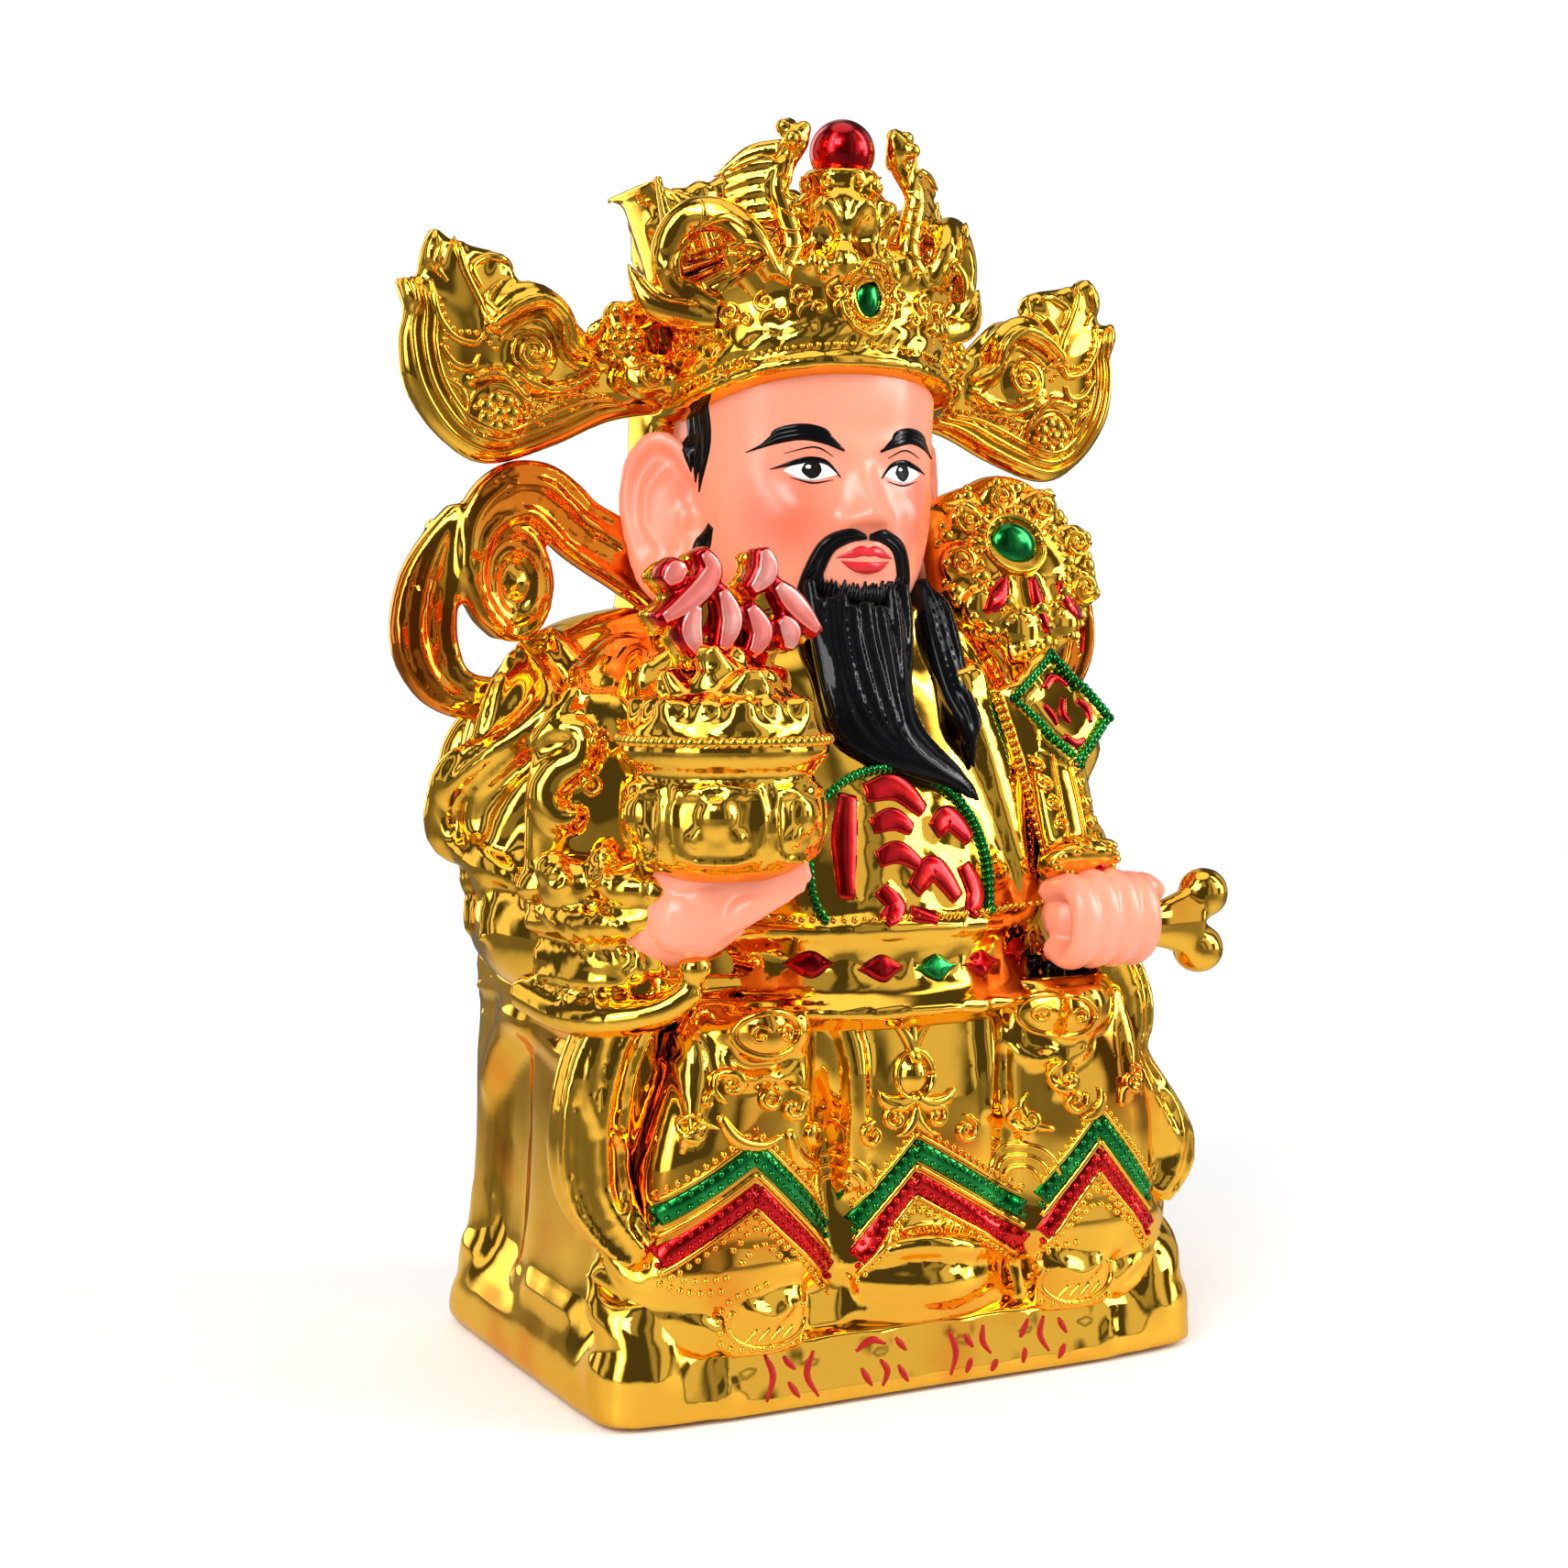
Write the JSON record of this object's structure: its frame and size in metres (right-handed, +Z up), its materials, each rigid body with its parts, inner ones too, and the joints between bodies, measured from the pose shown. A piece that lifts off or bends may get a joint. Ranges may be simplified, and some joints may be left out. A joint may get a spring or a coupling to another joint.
{
  "type": "caishen figure",
  "caption": "Seated god-of-wealth figure on a throne and plinth, with a treasure pot in one hand and a wish sceptre in the other.",
  "frame": {"origin": "middle of the plinth's underside, on the figure's middle plane", "axes": "+Z up, the figure faces -Y, +X is on the viewer's right, which is the figure's left hand"},
  "size_m": [0.2036, 0.1406, 0.296],
  "materials": {
    "gold_plating": "mirror-bright gold plating on glazed ceramic",
    "skin_paint": "semi-gloss peach paint on ceramic",
    "hair_paint": "gloss black paint on ceramic",
    "red_lacquer": "clear red lacquer over the plating",
    "green_lacquer": "clear green lacquer over the plating"
  },
  "bodies": {
    "root": {"caishen_figure": "gold_plating"}
  },
  "joints": []
}
